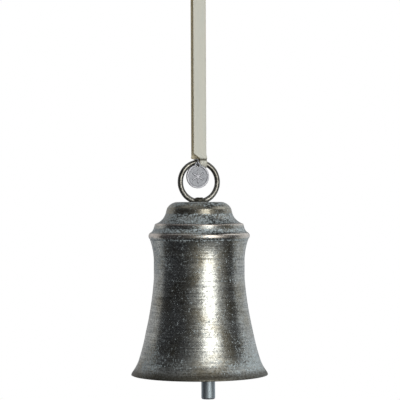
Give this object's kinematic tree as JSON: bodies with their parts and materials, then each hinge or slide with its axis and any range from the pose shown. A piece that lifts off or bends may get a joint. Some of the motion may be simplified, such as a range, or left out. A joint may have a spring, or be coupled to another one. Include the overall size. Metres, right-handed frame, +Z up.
{
  "type": "christmas bell ornament",
  "caption": "Small turned metal bell that hangs by a brazed ring from a ribbon loop, with a plain rod clapper and a round charm on the ring.",
  "frame": {"origin": "inside of the ribbon loop's top bend, where a hook or a twig carries the ornament", "axes": "+Z up, X along the plane of the hanging ring, -Y towards the front, the side that the charm hangs on"},
  "size_m": [0.065, 0.065, 0.2051],
  "materials": {
    "bell_metal": "turned and darkened, with pale and brown patina in the steps",
    "ring_metal": "drawn wire, darkened",
    "braze": "dark, rough flux-stained joint",
    "inner_wire": "bright drawn wire",
    "clapper_steel": "satin, cut from bar",
    "charm_metal": "cast, satin",
    "ribbon": "ivory satin weave with a darker gold back",
    "thread": "sewing thread"
  },
  "bodies": {
    "hanger": {"ribbon_loop": "ribbon", "ribbon_stitches": "thread"},
    "bell": {"bell_shell": "bell_metal", "hanging_ring": "ring_metal", "crown_braze": "braze", "clapper_hook": "inner_wire", "charm_jump_ring": "charm_metal"},
    "charm": {"charm_disc": "charm_metal"},
    "link": {"clapper_link": "inner_wire"},
    "clapper": {"clapper_eye": "inner_wire", "clapper_rod": "clapper_steel"}
  },
  "joints": [
    {"name": "ring_swing", "type": "hinge", "parent": "hanger", "child": "bell", "pos_m": [0.0017, 0, -0.09232], "axis": [1, 0, 0], "range_deg": [-40, 40]},
    {"name": "charm_swing", "type": "hinge", "parent": "bell", "child": "charm", "pos_m": [-0.0016, -0.00279, -0.0936], "axis": [-1, 0, 0], "range_deg": [-2, 30]},
    {"name": "clapper_swing", "type": "hinge", "parent": "bell", "child": "link", "pos_m": [0.0043, 0, -0.1216], "axis": [1, 0, 0], "range_deg": [-18, 18]},
    {"name": "clapper_sway", "type": "hinge", "parent": "link", "child": "clapper", "pos_m": [0.0043, 0, -0.1279], "axis": [0, 1, 0], "range_deg": [-5, 13]}
  ]
}
